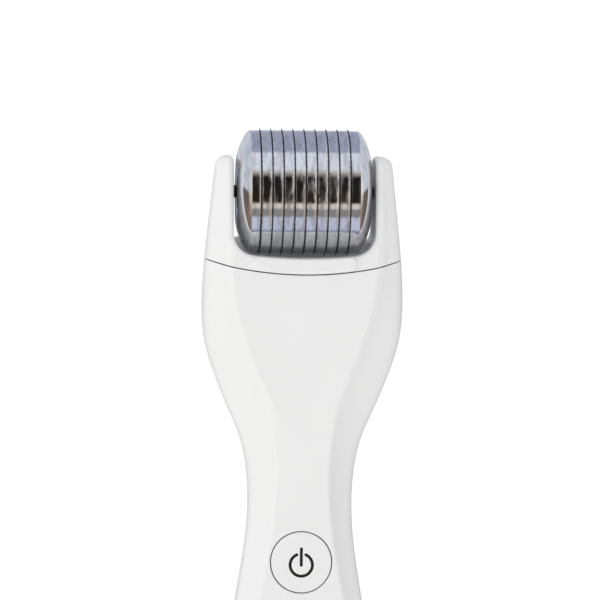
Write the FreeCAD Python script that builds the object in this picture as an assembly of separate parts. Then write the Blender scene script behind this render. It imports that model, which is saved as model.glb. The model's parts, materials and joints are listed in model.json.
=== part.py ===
"""Vibrating derma roller: a rechargeable handle with a pull-off fork head and a free-running needle roller.

Units are millimetres. +Z runs up the handle to the roller, the front with the button faces -Y, and +X is to
the right seen from the front. The origin is the middle of the flat base that the handle stands on.
Each sub-part is one function, and each is written to parts/NAME.step as its own closed solid or solids.
"""

import FreeCAD, Part
import math
import os

Vec = FreeCAD.Vector
X_AXIS = Vec(1, 0, 0)
Y_AXIS = Vec(0, 1, 0)
Z_AXIS = Vec(0, 0, 1)

# ---- driving dimensions -------------------------------------------------------------------------------

# Outer body. Each station is a level of the outer surface, with the front panel between two ridges, a thumb
# scoop within the panel, and a crease on each side from which the side walls fall back:
# (z, half width, front depth, rear depth, panel half width, scoop depth, crease half width, crease drop,
#  side corner depth)
STATIONS = [
    (0.0, 12.2, 10.2, 10.6, 1.2, 0.0, 8.4, 0.50, 4.6),
    (10.0, 13.3, 11.1, 11.7, 1.2, 0.0, 9.1, 0.50, 5.0),
    (25.0, 14.2, 11.8, 12.8, 1.2, 0.0, 9.8, 0.50, 5.4),
    (42.0, 14.6, 12.0, 13.2, 1.2, 0.0, 10.1, 0.50, 5.6),
    (58.0, 14.1, 11.6, 12.6, 1.2, 0.0, 9.8, 0.50, 5.4),
    (70.0, 12.8, 10.9, 11.4, 1.2, 0.0, 8.7, 0.45, 4.9),
    (80.0, 11.2, 10.3, 10.4, 1.2, 0.0, 6.8, 0.40, 4.4),
    (90.0, 10.4, 10.0, 10.0, 1.2, 0.0, 5.5, 0.35, 4.1),
    (98.0, 10.95, 10.1, 10.2, 1.2, 0.0, 5.3, 0.35, 4.0),
    (104.0, 12.45, 10.35, 10.6, 1.4, 0.05, 5.9, 0.40, 3.9),
    (107.5, 13.95, 10.5, 10.9, 4.0, 0.25, 6.5, 0.42, 3.8),
    (111.0, 15.5, 10.7, 11.2, 5.8, 0.42, 7.3, 0.38, 3.8),
    (116.0, 17.45, 10.9, 11.7, 8.4, 0.50, 9.3, 0.32, 4.2),
    (122.0, 19.3, 11.1, 12.0, 10.8, 0.36, 11.6, 0.36, 5.1),
    (129.0, 20.0, 11.2, 12.0, 13.0, 0.14, 13.9, 0.48, 6.1),
    (136.0, 19.8, 11.0, 11.6, 14.0, 0.0, 15.3, 0.70, 6.5),
    (143.0, 19.2, 10.4, 11.0, 14.0, 0.0, 15.6, 0.85, 6.2),
    (150.0, 18.45, 9.6, 10.35, 13.6, 0.0, 15.4, 0.85, 5.7),
    (157.0, 17.72, 8.6, 9.6, 13.0, 0.0, 14.8, 0.75, 5.0),
    (164.0, 17.0, 7.5, 8.8, 12.4, 0.0, 14.2, 0.70, 4.3),
]
RIDGE_TIGHTNESS = 0.5         # half the spacing of the poles that make the panel's ridge
CREASE_TIGHTNESS = 0.5        # spacing of the poles that make the crease
CREASE_SOFTENING = 1.4        # how much wider that spacing is at the base, where the crease fades out
CREASE_FADE_Z = 40.0
WALL = 1.8                    # thickness of the handle shells
SHELL_GAP = 0.05              # half of the parting gap between the front and rear shell

# Joint between the handle and the head: an arc seen from the front, lower in the middle
SEAM_Z = 136.3
SEAM_RADIUS = 71.0
SEAM_HALF_GAP = 0.12

# Base cap
BASE_TOP_Z = 5.0
BASE_EDGE_RADIUS = 2.2
BASE_GAP = 0.1                # parting gap above the cap
BASE_FLOOR = 1.8
BASE_RIM_HEIGHT = 3.0         # how far the rim plugs into the shells
PORT_HALF = (4.7, 1.85)       # half width and half depth of the slot for the plug

# Shells: ribs, screw bosses, tongues and bead
RIB_THICKNESS = 1.4
RIB_GAP = 0.6                 # from the parting plane to each half rib
CELL_RIBS_Z = (22.0, 46.0)
MOTOR_RIBS_Z = (102.0, 108.0)
LEAD_WAY_X = 9.4              # middle of the notches that the leads pass through
LEAD_WAY_HALF = (1.9, 3.6)    # their half width and half depth
BOSS_RADIUS = 1.9
PILOT_RADIUS = 0.7
PILOT_DEPTH = 5.0
TONGUE_REACH = (7.0, 30.0)    # nearest and farthest X of the tongues
TONGUE_Y = (-4.0, -0.6, 2.6)  # start, end of the root, end of the tongue
ROOT_OVERLAP = 0.3            # how far an added rib or bead sinks into the wall that carries it

# Fork
ARM_INNER_X = 14.1            # inner face of each arm
ARM_TOP_Z = 159.4
ARM_TOP_ROUNDING = 2.2        # outer edges of the arms' tops
OPENING_ROUNDING = 0.8        # edges of the opening that the roller sits in
LEDGE_Z = 139.5               # top of the ledge and lip in front of the roller, at the middle
LEDGE_RADIUS = 100.0          # their arc, seen from the front
CRADLE_CORNER = 4.6
CRADLE_RADIUS = 13.5          # curved floor and rear wall of the cradle, round the roller
TROUGH_HALF_LENGTH = 13.4
TROUGH_CORNER = 3.0
LIP_HALF_LENGTH = 10.3
LIP_PROUD = 0.95
LIP_END_RADIUS = 1.35
LIP_ROUNDING = 0.5
LIP_BACK_Y = -6.0             # how deep the lip's root reaches into the fork
LIP_FACE_Y = -10.5            # edges farther forward than this are rounded
LIP_SEAM_CLEARANCE = 0.15
PLUG_RADIUS = 2.5             # covers over the axle's ends
PLUG_GAP = 0.05

# Roller
AXIS_Y = -1.0
AXIS_Z = 152.3
AXLE_RADIUS = 0.8
AXLE_HALF_LENGTH = 16.7
DISC_COUNT = 9
DISC_PITCH = 2.2
DISC_THICKNESS = 0.25
NEEDLES_PER_DISC = 60
NEEDLE_ROOT_RADIUS = 11.75
NEEDLE_TIP_RADIUS = 12.65
NEEDLE_BASE_WIDTH = 0.4
SPACER_RADIUS = 12.25
SPACER_CHAMFER = 0.12
CORE_RADIUS = 8.5
CORE_BORE = 6.5
KEY_WIDTH = 1.6
KEY_HEIGHT = 0.7
CAP_BAND_RADIUS = 12.2
CAP_BAND_END_X = 10.75
CAP_END_X = 13.35
CAP_END_RADIUS = 7.0
CAP_WALL = 1.1
CAP_BEND = (12.15, 10.6)      # a point of the cap's domed bevel: (X, radius)
CAP_RECESS_RADIUS = 5.2
CAP_HUB = (10.2, 4.0)         # inner end and radius of the hub round the bush
CAP_LAP = 1.6                 # how far the cap reaches into the core
CORE_HALF_LENGTH = 10.4
KEY_ROOT = 0.8                # how far the key sinks into the core
KEY_CLEARANCE = 0.03
BUSH_RADIUS = 2.4
BUSH_NOSE_RADIUS = 1.25
BUSH_END_GAP = 0.1            # from the nose to the arm
RUNNING_CLEARANCE = 0.04

# Power button and its symbol
BUTTON_Z = 79.05
BUTTON_RADIUS = 6.0
BUTTON_FLANGE_RADIUS = 6.75
BUTTON_GAP = 0.2
BUTTON_ROUNDING = 0.3         # edges of the button and of its hole
BUTTON_BACK_Y = -5.9
BUTTON_FLANGE_Y = -6.6
BUTTON_HOLLOW_Y = -8.6
BUTTON_WALL = 1.2
BUTTON_RIM_Y = -8.0           # edges farther forward than this are on the face
STEM_RADIUS = 1.8
STEM_Y = (-9.0, -5.65)
GUIDE_WALL = 1.1              # sleeve round the button inside the shell
GUIDE_END_Y = -6.75
PAD_RADII = (6.2, 5.2)
PAD_Y = -5.85
PAD_CLEARANCE = 0.03
SWITCH_FRONT_Y = -4.2
SWITCH_HALF = 3.0
SWITCH_BORE = 1.8
SWITCH_BORE_DEPTH = 1.4
PLUNGER_RADIUS = 1.7
PLUNGER_Y = -5.6
PLUNGER_ROOT = 0.6
SYMBOL_RADIUS = 2.22          # middle of the stroke
SYMBOL_STROKE = 0.6
SYMBOL_DROP = 0.5             # ring centre below the button's centre
SYMBOL_OPENING = 24.0         # half angle of the gap at the top, in degrees
SYMBOL_DEPTH = 0.2
SYMBOL_BAR = (-0.05, 3.2)     # ends of the upright stroke, from the ring's centre

# Inside the handle
BOARD_FRONT_Y = -2.0
BOARD_THICKNESS = 1.0
BOARD_HALF_WIDTH = 7.0
BOARD_Z = (61.0, 94.0)
BOARD_SCREWS = [(sx * 4.9, z) for sx in (-1, 1) for z in (64.0, 91.4)]
SCREW_HOLE_RADIUS = 1.1
SCREW_HEAD = (1.6, 1.1)       # radius and height
SCREW_SHANK_LENGTH = 5.5
SCREW_SLOT = (1.0, 0.18, 0.6)   # half length, half width, and what is left of the head below it
CHIPS = [(2.0, 1.4, 67.0, 71.0), (1.6, 1.1, 84.5, 87.5)]   # (half width, height, lower Z, upper Z)
CELL_RADIUS = 7.0
CELL_Y = 0.6
CELL_Z = (14.0, 56.3)
CELL_CONTACT = 0.7            # height of the raised end
CELL_CONTACT_RADIUS = 2.6
CELL_ROUNDING = 0.6
CELL_CLEARANCE = 0.05
USB_SHELL = (4.47, 1.63)      # half width and half depth of the socket's steel shell
USB_WALL = 0.3
USB_Z = (1.0, 7.8, 8.3)       # mouth, back wall, back
USB_TONGUE = (3.3, 0.35, 2.2)   # half width, half thickness, lower Z
CHARGING_BOARD_HALF_WIDTH = 6.0
CHARGING_BOARD_Z = (3.4, 11.8)
LEAD_RADIUS = 0.5
MOTOR_RADIUS = 5.0
MOTOR_Z = (99.0, 112.5)
BOOT_RADIUS = 6.4
SHAFT_RADIUS = 0.5
SHAFT_Z = (106.6, 119.6)
SHAFT_END_GAP = 0.1
MOTOR_NOSE = (1.6, 0.9)       # radius and height
BOOT_MARGIN = 1.5             # of the can, left bare at each end
WEIGHT_RADIUS = 4.1
WEIGHT_EDGE_Y = 0.4
WEIGHT_HUB_RADIUS = 1.5
WEIGHT_Z = (114.2, 119.0)
COLLAR_Z = 121.6
COLLAR_BEAD_Z = (126.0, 127.4)   # bead inside both shells that locks the collar
TONGUE_Z = (34.0, 112.0)      # lower ends of the tongues that line the front shell up with the rear one
TONGUE_LENGTH = 6.0
SOCKET_HALF = (12.2, 6.7)     # half width and half depth of the socket that takes the head
SOCKET_CORNER = 2.0
SOCKET_FLOOR = 1.6
SOCKET_SEAM_GAP = 0.9         # from the collar's top down to the seam
SPIGOT_CLEARANCE = 0.15
SPIGOT_CORNER = 1.85
SPIGOT_Z = 124.0
SPIGOT_ROOT = 2.5             # how far it reaches into the fork
SPIGOT_WALLS = (2.2, 2.0)     # side walls, front and rear walls
SPIGOT_WEB = 0.8              # half thickness of the web down its middle
SPIGOT_ROOF = 1.2
CATCH_Z = 128.5               # middle of the spring bumps and of their notches
CATCH_X = 0.75                # their middle, outside the socket's side
BUMP_RADII = (1.25, 0.85)
BUMP_HALF_LENGTH = 2.4
NOTCH_RADIUS = 1.45
NOTCH_HALF_LENGTH = 2.8
LEAF_X = (1.0, 1.4)           # the leaf's faces, outside the socket's side
LEAF_HALF_WIDTH = 2.8
LEAF_Z = (124.8, 132.2)
POCKET_X = (-1.0, 1.5)
POCKET_HALF_WIDTH = 3.0
POCKET_Z = (124.6, 132.4)
POCKET_CLEARANCE = 0.05

BIG = 60.0                    # farther out than any part of the body
TOP = 200.0                   # higher than any part of the body
MARGIN = 1.0                  # how far a cutter runs past the face it opens
ON_SURFACE = 0.02             # an edge this near to a surface lies on it


# ---- helpers ------------------------------------------------------------------------------------------

def box(x0, x1, y0, y1, z0, z1):
    """A block between two corners."""
    return Part.makeBox(x1 - x0, y1 - y0, z1 - z0, Vec(x0, y0, z0))


def rod(radius, start, end):
    """A cylinder from one point to another."""
    line = end - start
    return Part.makeCylinder(radius, line.Length, start, line)


def tube(outer, inner, start, end):
    """A hollow cylinder from one point to another."""
    return rod(outer, start, end).cut(rod(inner, start, end))


def turned(points, centre, axis):
    """A solid turned from a closed outline of (along the axis, radius) points round the X or Z axis."""
    if axis == X_AXIS:
        corners = [Vec(a, centre.y, centre.z + r) for a, r in points]
    else:
        corners = [Vec(centre.x + r, centre.y, a) for a, r in points]
    face = Part.Face(Part.makePolygon(corners + corners[:1]))
    return face.revolve(centre, axis, 360)


def rounded_block(half_x, half_y, corner, z0, z1):
    """An upright block with rounded vertical edges, centred on the handle's axis."""
    block = box(-half_x, half_x, -half_y, half_y, z0, z1)
    upright = [e for e in block.Edges if abs(e.tangentAt(e.FirstParameter).z) > 0.99]
    return block.makeFillet(corner, upright)


def body_section(station, inset):
    """The closed outline of the body at one level, drawn in by inset."""
    z, half_w, front, rear, panel, scoop, crease, drop, corner = station
    w, front, rear = half_w - inset, front - inset, rear - inset
    crease, corner = crease - 0.45 * inset, corner - 0.5 * inset
    panel = panel - 0.45 * inset * min(1, panel / 4)
    crease_y = -front + drop
    ridge = min(RIDGE_TIGHTNESS, 0.3 * panel)
    bend = CREASE_TIGHTNESS + CREASE_SOFTENING * max(0, 1 - z / CREASE_FADE_Z)
    side_front = (w, -corner)
    side_rear = (0.965 * w, 0.42 * rear)
    widest = ((6 * w - side_front[0] - side_rear[0]) / 4, 0.0)
    right = [
        (0.5 * panel, -front + 0.8 * scoop),
        (panel - ridge, -front + 0.08 * scoop),
        (panel + ridge, -front),
        (crease - bend, crease_y - 0.25 * drop),
        (crease, crease_y),
        (crease + 0.8 * bend, crease_y + bend),
        (crease + 0.40 * (w - crease), crease_y + 0.56 * (-corner - crease_y)),
        side_front,
        widest,
        side_rear,
        (0.80 * w, 0.83 * rear),
        (0.42 * w, rear),
    ]
    left = [(-x, y) for x, y in reversed(right)]
    poles = [Vec(x, y, z) for x, y in [(0, -front + scoop), *right, (0, rear), *left]]
    curve = Part.BSplineCurve()
    count = len(poles)
    curve.buildFromPolesMultsKnots(poles, [1] * (count + 1), list(range(count + 1)), True, 3)
    return Part.Wire([curve.toShape()])


def body_form(inset=0.0):
    """The whole outer form of handle and head as one block, drawn in by inset."""
    return Part.makeLoft([body_section(s, inset) for s in STATIONS], True, False)


def between(z0, z1):
    """Everything between two levels."""
    return box(-BIG, BIG, -BIG, BIG, z0, z1)


def front_half(gap):
    """Everything in front of the parting plane, less a gap."""
    return box(-BIG, BIG, -BIG, -gap, -BIG, TOP)


def rear_half(gap):
    """Everything behind the parting plane, less a gap."""
    return box(-BIG, BIG, gap, BIG, -BIG, TOP)


def seam_block(offset, upper):
    """Everything above or below the arc of the head joint, moved by offset along Z."""
    centre_z = SEAM_Z + SEAM_RADIUS + offset
    drum = Part.makeCylinder(SEAM_RADIUS, 2 * BIG, Vec(0, -BIG, centre_z), Y_AXIS)
    slab = box(-BIG, BIG, -BIG, BIG, SEAM_Z - 5 + offset, ARM_TOP_Z + BIG)
    above = slab.common(drum)
    if upper:
        return above
    return box(-BIG, BIG, -BIG, BIG, -BIG, SEAM_Z + 20).cut(drum)


def bent_wire(points, radius):
    """A round lead along straight runs joined by tangent arcs as large as the runs allow."""
    corners = [Vec(*p) for p in points]
    edges = []
    start = corners[0]
    for before, corner, after in zip(corners, corners[1:], corners[2:]):
        come, go = (corner - before), (after - corner)
        turn = come.getAngle(go)
        setback = 0.45 * min(come.Length, go.Length)
        come.normalize()
        go.normalize()
        first, last = corner - come * setback, corner + go * setback
        bend_radius = setback / math.tan(turn / 2)
        inward = (go - come).normalize()
        middle = corner + inward * (bend_radius / math.cos(turn / 2) - bend_radius)
        edges.append(Part.LineSegment(start, first).toShape())
        edges.append(Part.Arc(first, middle, last).toShape())
        start = last
    edges.append(Part.LineSegment(start, corners[-1]).toShape())
    path = Part.Wire(edges)
    heading = edges[0].tangentAt(0)
    profile = Part.Wire([Part.Circle(corners[0], heading, radius).toShape()])
    lead = path.makePipeShell([profile], True, False)
    share = lead.Volume / (math.pi * radius**2 * path.Length)
    print(f"lead: {path.Length:.1f} mm long, volume {share:.3f} of section times length")
    return lead


def middle_of(edge):
    """The point halfway along an edge."""
    return edge.valueAt((edge.FirstParameter + edge.LastParameter) / 2)


def solids_of(*shapes):
    """One compound of several separate solids."""
    return Part.makeCompound([s for shape in shapes for s in shape.Solids])


# ---- handle shells and base ---------------------------------------------------------------------------

def rib(form_inside, z, bore, bore_y, front):
    """A saddle rib across the handle with a round seat for the cell or the motor boot."""
    low, high = z - MARGIN, z + RIB_THICKNESS + MARGIN
    plate = form_inside.common(between(z, z + RIB_THICKNESS))
    plate = plate.cut(rod(bore, Vec(0, bore_y, low), Vec(0, bore_y, high)))
    plate = plate.common(front_half(RIB_GAP) if front else rear_half(RIB_GAP))
    half_width, half_depth = LEAD_WAY_HALF
    for side in (-1, 1):
        middle = side * LEAD_WAY_X
        plate = plate.cut(box(middle - half_width, middle + half_width, -half_depth, half_depth, low, high))
    return plate


def rim_edges(shape, radius):
    """The front edges of a round shape of that radius at the button's place."""
    edges = []
    for edge in shape.Edges:
        place = middle_of(edge)
        away = math.hypot(place.x, place.z - BUTTON_Z)
        on_face = edge.BoundBox.YMax < BUTTON_RIM_Y
        goes_round = edge.BoundBox.XLength > radius / 2
        if on_face and goes_round and abs(away - radius) < ON_SURFACE:
            edges.append(edge)
    return edges


def handle_shells(form, inside):
    """The front and rear shell of the handle, with the ribs and bosses moulded inside them."""
    hollow = form.cut(inside).common(between(BASE_TOP_Z + BASE_GAP, TOP))
    hollow = hollow.common(seam_block(-SEAM_HALF_GAP, False))
    front = hollow.common(front_half(SHELL_GAP))
    rear = hollow.common(rear_half(SHELL_GAP))

    for z in CELL_RIBS_Z:
        front = front.fuse(rib(inside, z, CELL_RADIUS + CELL_CLEARANCE, CELL_Y, True))
        rear = rear.fuse(rib(inside, z, CELL_RADIUS + CELL_CLEARANCE, CELL_Y, False))
    for z in MOTOR_RIBS_Z:
        front = front.fuse(rib(inside, z, BOOT_RADIUS, 0, True))
        rear = rear.fuse(rib(inside, z, BOOT_RADIUS, 0, False))

    hole_radius = BUTTON_RADIUS + BUTTON_GAP
    guide = rod(hole_radius + GUIDE_WALL, Vec(0, -BIG, BUTTON_Z), Vec(0, GUIDE_END_Y, BUTTON_Z))
    front = front.fuse(guide.common(form))
    front = front.cut(rod(hole_radius, Vec(0, -BIG, BUTTON_Z), Vec(0, GUIDE_END_Y + MARGIN, BUTTON_Z)))
    front = front.makeFillet(BUTTON_ROUNDING, rim_edges(front, hole_radius))

    board_back = BOARD_FRONT_Y + BOARD_THICKNESS
    for x, z in BOARD_SCREWS:
        boss = rod(BOSS_RADIUS, Vec(x, board_back, z), Vec(x, BIG, z)).common(form)
        rear = rear.fuse(boss)
        pilot_end = Vec(x, board_back + PILOT_DEPTH, z)
        rear = rear.cut(rod(PILOT_RADIUS, Vec(x, board_back - MARGIN, z), pilot_end))

    tongue_outer, tongue_inner = body_form(WALL + 0.08), body_form(WALL + 1.1)
    tongue_ring = tongue_outer.cut(tongue_inner)
    root_ring = body_form(WALL - ROOT_OVERLAP).cut(tongue_inner)
    y_start, y_root, y_end = TONGUE_Y
    for z in TONGUE_Z:
        for side in (-1, 1):
            reach = sorted(side * x for x in TONGUE_REACH)
            tongue = tongue_ring.common(box(*reach, y_start, y_end, z, z + TONGUE_LENGTH))
            root = root_ring.common(box(*reach, y_start, y_root, z, z + TONGUE_LENGTH))
            front = front.fuse(tongue.fuse(root))

    bead = body_form(WALL - ROOT_OVERLAP).cut(body_form(WALL + 0.9)).common(between(*COLLAR_BEAD_Z))
    front = front.fuse(bead.common(front_half(SHELL_GAP)))
    rear = rear.fuse(bead.common(rear_half(SHELL_GAP)))
    return front, rear


def base_cap(form, inside):
    """The flat base: a short cap with a rim that plugs into both shells, and the socket's slot."""
    cap = form.common(between(0, BASE_TOP_Z))
    bottom_edges = [e for e in cap.Edges if abs(e.CenterOfMass.z) < 0.01]
    cap = cap.makeFillet(BASE_EDGE_RADIUS, bottom_edges)
    rim_top = BASE_TOP_Z + BASE_RIM_HEIGHT
    rim = body_form(WALL + 0.1).common(between(BASE_TOP_Z - 0.5, rim_top))
    hollow = body_form(WALL + 1.4).common(between(BASE_FLOOR, rim_top + MARGIN))
    slot = usb_outline(*PORT_HALF, -MARGIN, BASE_FLOOR + MARGIN)
    cap = cap.fuse(rim).cut(hollow).cut(slot)
    for side in (-1, 1):
        rail = box(*sorted((side * 5.2, side * 7.4)), 0.7, 3.6, 1.0, 8.6)
        groove = box(*sorted((side * 5.0, side * 6.05)), 1.6, 2.66, 3.35, 20)
        cap = cap.fuse(rail).cut(groove)
    return cap


def usb_outline(half_width, half_height, z0, z1):
    """A flat-sided round-ended bar, the outline of the charging socket."""
    straight = half_width - half_height
    bar = box(-straight, straight, -half_height, half_height, z0, z1)
    for side in (-1, 1):
        bar = bar.fuse(rod(half_height, Vec(side * straight, 0, z0), Vec(side * straight, 0, z1)))
    return bar.removeSplitter()


# ---- power button -------------------------------------------------------------------------------------

def power_symbol_outline(z_centre):
    """The power sign as a solid through the button's face, along Y."""
    y0, y1 = -BIG, BUTTON_BACK_Y
    centre0, centre1 = Vec(0, y0, z_centre), Vec(0, y1, z_centre)
    half = SYMBOL_STROKE / 2
    ring = tube(SYMBOL_RADIUS + half, SYMBOL_RADIUS - half, centre0, centre1)
    opening = math.radians(SYMBOL_OPENING)
    reach = BUTTON_RADIUS
    wedge = Part.Face(Part.makePolygon([
        centre0,
        centre0 + Vec(-reach * math.sin(opening), 0, reach * math.cos(opening)),
        centre0 + Vec(reach * math.sin(opening), 0, reach * math.cos(opening)),
        centre0,
    ])).extrude(Vec(0, y1 - y0, 0))
    ring = ring.cut(wedge)
    for side in (-1, 1):
        x, z = side * SYMBOL_RADIUS * math.sin(opening), z_centre + SYMBOL_RADIUS * math.cos(opening)
        ring = ring.fuse(rod(half, Vec(x, y0, z), Vec(x, y1, z)))
    low, high = (z_centre + end for end in SYMBOL_BAR)
    bar = box(-half, half, y0, y1, low, high)
    for z in (low, high):
        bar = bar.fuse(rod(half, Vec(0, y0, z), Vec(0, y1, z)))
    return ring.removeSplitter(), bar.removeSplitter()


def power_button(form):
    """The round button, flush with the handle, and the sign inlaid in its face."""
    back_y = BUTTON_BACK_Y
    cap = rod(BUTTON_RADIUS, Vec(0, -BIG, BUTTON_Z), Vec(0, back_y, BUTTON_Z))
    cap = cap.common(form)
    cap = cap.makeFillet(BUTTON_ROUNDING, rim_edges(cap, BUTTON_RADIUS))
    flange = rod(BUTTON_FLANGE_RADIUS, Vec(0, BUTTON_FLANGE_Y, BUTTON_Z), Vec(0, back_y, BUTTON_Z))
    hollow_start = Vec(0, BUTTON_HOLLOW_Y, BUTTON_Z)
    hollow = rod(BUTTON_RADIUS - BUTTON_WALL, hollow_start, Vec(0, back_y + MARGIN, BUTTON_Z))
    stem = rod(STEM_RADIUS, Vec(0, STEM_Y[0], BUTTON_Z), Vec(0, STEM_Y[1], BUTTON_Z))
    cap = cap.fuse(flange).cut(hollow).fuse(stem)
    layer = form.cut(body_form(SYMBOL_DEPTH))
    ring, bar = power_symbol_outline(BUTTON_Z - SYMBOL_DROP)
    symbol = [shape.common(layer) for shape in (ring, bar)]
    for shape in symbol:
        cap = cap.cut(shape)
    return cap, solids_of(*symbol)


def switch_parts():
    """The small push switch under the button: its housing and its plunger."""
    top, half = SWITCH_FRONT_Y, SWITCH_HALF
    housing = box(-half, half, top, BOARD_FRONT_Y, BUTTON_Z - half, BUTTON_Z + half)
    bore_end = Vec(0, top + SWITCH_BORE_DEPTH, BUTTON_Z)
    housing = housing.cut(rod(SWITCH_BORE, Vec(0, top - MARGIN, BUTTON_Z), bore_end))
    plunger = rod(PLUNGER_RADIUS, Vec(0, PLUNGER_Y, BUTTON_Z), Vec(0, top + PLUNGER_ROOT, BUTTON_Z))
    return housing, plunger


# ---- electrics ----------------------------------------------------------------------------------------

def circuit_board():
    """The main board, with screw holes and its larger components."""
    y0, y1 = BOARD_FRONT_Y, BOARD_FRONT_Y + BOARD_THICKNESS
    board = box(-BOARD_HALF_WIDTH, BOARD_HALF_WIDTH, y0, y1, *BOARD_Z)
    for x, z in BOARD_SCREWS:
        board = board.cut(rod(SCREW_HOLE_RADIUS, Vec(x, y0 - MARGIN, z), Vec(x, y1 + MARGIN, z)))
    chips = [box(-half, half, y1, y1 + height, z0, z1) for half, height, z0, z1 in CHIPS]
    return board, solids_of(*chips)


def board_screws():
    """Four pan-head screws that hold the main board to the rear shell."""
    head_radius, head_height = SCREW_HEAD
    slot_length, slot_width, slot_floor = SCREW_SLOT
    top = BOARD_FRONT_Y - head_height
    screws = []
    for x, z in BOARD_SCREWS:
        head = rod(head_radius, Vec(x, top, z), Vec(x, BOARD_FRONT_Y, z))
        shank = rod(PILOT_RADIUS, Vec(x, BOARD_FRONT_Y, z), Vec(x, BOARD_FRONT_Y + SCREW_SHANK_LENGTH, z))
        slots = [box(x - a, x + a, top - MARGIN, BOARD_FRONT_Y - slot_floor, z - b, z + b)
                 for a, b in ((slot_length, slot_width), (slot_width, slot_length))]
        screw = head.fuse(shank)
        for slot in slots:
            screw = screw.cut(slot)
        screws.append(screw.removeSplitter())
    return solids_of(*screws)


def cell():
    """The rechargeable cell with its raised positive end."""
    z0, z1 = CELL_Z
    can = rod(CELL_RADIUS, Vec(0, CELL_Y, z0), Vec(0, CELL_Y, z1))
    can = can.makeFillet(CELL_ROUNDING, can.Edges[0:1] + can.Edges[2:3])
    button_end = rod(CELL_CONTACT_RADIUS, Vec(0, CELL_Y, z1), Vec(0, CELL_Y, z1 + CELL_CONTACT))
    return can.fuse(button_end).removeSplitter()


def charging_parts():
    """The charging socket and the small board that carries it behind the base."""
    mouth, back_wall, back = USB_Z
    bore = [half - USB_WALL for half in USB_SHELL]
    shell = usb_outline(*USB_SHELL, mouth, back).cut(usb_outline(*bore, mouth - MARGIN, back_wall))
    half_width, half_thickness, tongue_z = USB_TONGUE
    tongue = box(-half_width, half_width, -half_thickness, half_thickness, tongue_z, back_wall)
    board_y = USB_SHELL[1]
    board_half = CHARGING_BOARD_HALF_WIDTH
    board = box(-board_half, board_half, board_y, board_y + BOARD_THICKNESS, *CHARGING_BOARD_Z)
    return shell.fuse(tongue).removeSplitter(), board


def motor_parts():
    """The vibration motor: can, rubber boot, and the shaft with its eccentric weight."""
    z0, z1 = MOTOR_Z
    can = rod(MOTOR_RADIUS, Vec(0, 0, z0), Vec(0, 0, z1))
    nose_radius, nose_height = MOTOR_NOSE
    nose = rod(nose_radius, Vec(0, 0, z1), Vec(0, 0, z1 + nose_height))
    way_start = Vec(0, 0, SHAFT_Z[0] - SHAFT_END_GAP)
    shaft_way = rod(SHAFT_RADIUS + RUNNING_CLEARANCE, way_start, Vec(0, 0, z1 + nose_height + MARGIN))
    can = can.fuse(nose).cut(shaft_way).removeSplitter()
    boot = tube(BOOT_RADIUS, MOTOR_RADIUS, Vec(0, 0, z0 + BOOT_MARGIN), Vec(0, 0, z1 - BOOT_MARGIN))
    shaft = rod(SHAFT_RADIUS, Vec(0, 0, SHAFT_Z[0]), Vec(0, 0, SHAFT_Z[1]))
    low, high = Vec(0, 0, WEIGHT_Z[0]), Vec(0, 0, WEIGHT_Z[1])
    weight = rod(WEIGHT_RADIUS, low, high).common(front_half(-WEIGHT_EDGE_Y))
    hub = rod(WEIGHT_HUB_RADIUS, low, high)
    weight = weight.fuse(hub).cut(rod(SHAFT_RADIUS, low - Z_AXIS, high + Z_AXIS))
    return can, boot, shaft, weight.removeSplitter()


def leads():
    """The insulated leads: charging board to main board, cell to main board, main board to motor."""
    back = BOARD_FRONT_Y + BOARD_THICKNESS + 0.9
    charge = [
        bent_wire([(s * 4.6, 3.14, 8.6), (s * 7.3, 3.4, 12.4), (s * 9.6, 0.8, 18.0), (s * 9.7, 0, 26.0),
                   (s * 9.7, 0, 40.0), (s * 9.5, -0.2, 53.5), (s * 6.4, 1.2, 59.2),
                    (s * 5.2, back, 60.6)],
                  LEAD_RADIUS)
        for s in (-1, 1)
    ]
    cell_ends = [
        bent_wire([(1.4, CELL_Y, CELL_Z[1] + 0.85), (1.5, CELL_Y + 0.2, 60.0), (2.0, 0.6, 64.0),
                   (2.2, back, 66.4)], LEAD_RADIUS),
        bent_wire([(-3.8, CELL_Y + 1.4, CELL_Z[1] + 0.25), (-3.4, CELL_Y + 1.3, 59.6), (-2.0, 0.9, 62.8),
                   (-1.8, back, 65.6)], LEAD_RADIUS),
    ]
    motor = [
        bent_wire([(s * 2.4, back, 91.0), (s * 2.7, back + 0.9, 93.8), (s * 2.6, 1.0, 96.4),
                   (s * 2.4, 0.8, MOTOR_Z[0] - 0.06)], LEAD_RADIUS)
        for s in (-1, 1)
    ]
    return solids_of(*charge), solids_of(*cell_ends), solids_of(*motor)


# ---- head joint ---------------------------------------------------------------------------------------

def spring_pocket(side, grow=0.0):
    """The space in the collar for one retaining spring."""
    inner, outer = SOCKET_HALF[0] + POCKET_X[0], SOCKET_HALF[0] + POCKET_X[1] + grow
    half_width = POCKET_HALF_WIDTH + grow
    low, high = POCKET_Z
    return box(*sorted((side * inner, side * outer)), -half_width, half_width, low - grow, high + grow)


def socket_collar():
    """The collar trapped between the shells, with the socket that takes the head's spigot."""
    collar = body_form(WALL + 0.12).common(between(COLLAR_Z, TOP))
    collar = collar.common(seam_block(-SOCKET_SEAM_GAP, False))
    socket = rounded_block(*SOCKET_HALF, SOCKET_CORNER, COLLAR_Z + SOCKET_FLOOR, TOP)
    collar = collar.cut(socket)
    z0, z1 = COLLAR_BEAD_Z
    groove = body_form(WALL - ROOT_OVERLAP).cut(body_form(WALL + 1.0)).common(between(z0 - 0.1, z1 + 0.1))
    collar = collar.cut(groove)
    for side in (-1, 1):
        collar = collar.cut(spring_pocket(side, POCKET_CLEARANCE))
    return collar


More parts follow.
